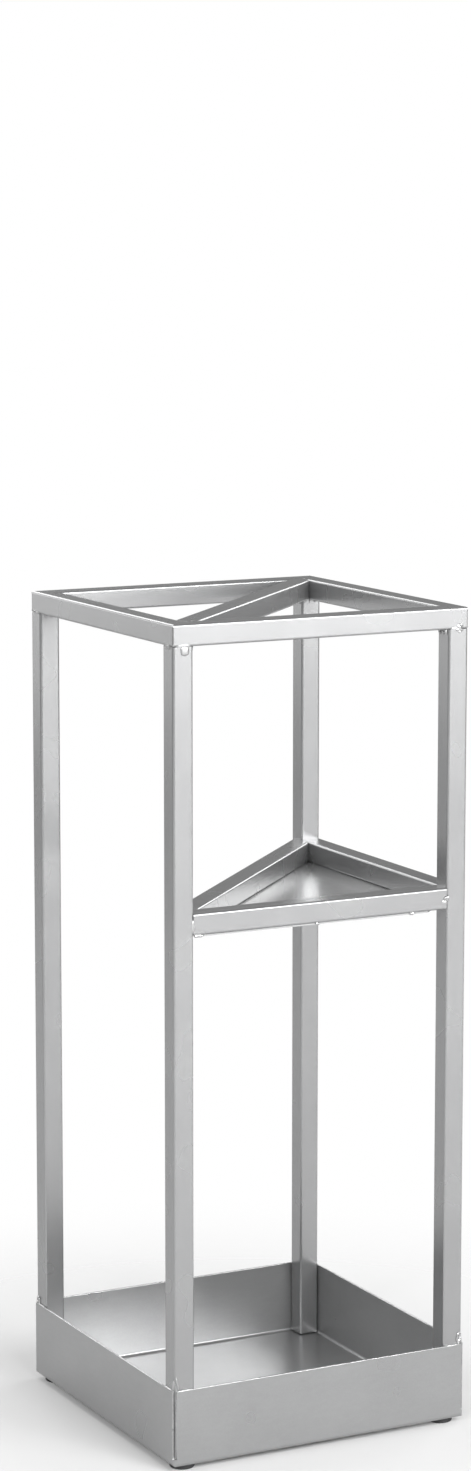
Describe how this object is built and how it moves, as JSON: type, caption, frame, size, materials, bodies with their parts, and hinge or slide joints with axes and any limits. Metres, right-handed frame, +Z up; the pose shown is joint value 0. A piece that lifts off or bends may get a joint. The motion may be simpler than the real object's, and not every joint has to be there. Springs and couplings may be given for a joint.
{
  "type": "umbrella stand",
  "caption": "Square-tube umbrella stand in a low folded drip tray, with a diagonal rail across its open top and a raised triangular shelf for short umbrellas.",
  "frame": {"origin": "on the floor, under the middle of the tray", "axes": "+Z up, -Y towards the front, where the shelf's front rail is, +X towards the side that has the shelf's right rail"},
  "size_m": [0.213, 0.213, 0.54],
  "materials": {
    "frame_tube": "satin silver-grey metallic powder coat on steel tube",
    "shelf_sheet": "satin silver-grey metallic powder coat on steel sheet",
    "tray_sheet": "satin silver-grey metallic powder coat on folded steel sheet",
    "weld_bead": "satin silver-grey metallic powder coat over weld metal",
    "foot_pad": "matt black rubber"
  },
  "bodies": {
    "root": {"top_rail_front": "frame_tube", "top_rail_right": "frame_tube", "top_rail_back": "frame_tube", "top_rail_left": "frame_tube", "top_diagonal_rail": "frame_tube", "post_front_left": "frame_tube", "post_front_right": "frame_tube", "post_back_right": "frame_tube", "post_back_left": "frame_tube", "shelf_rail_front": "frame_tube", "shelf_rail_right": "frame_tube", "shelf_diagonal_rail": "frame_tube", "shelf_plate": "shelf_sheet", "base_tray": "tray_sheet", "foot_front_left": "foot_pad", "foot_front_right": "foot_pad", "foot_back_right": "foot_pad", "foot_back_left": "foot_pad", "top_corner_welds": "weld_bead", "post_top_welds": "weld_bead", "shelf_joint_welds": "weld_bead", "shelf_plate_tacks": "weld_bead", "tray_corner_welds": "weld_bead"}
  },
  "joints": []
}
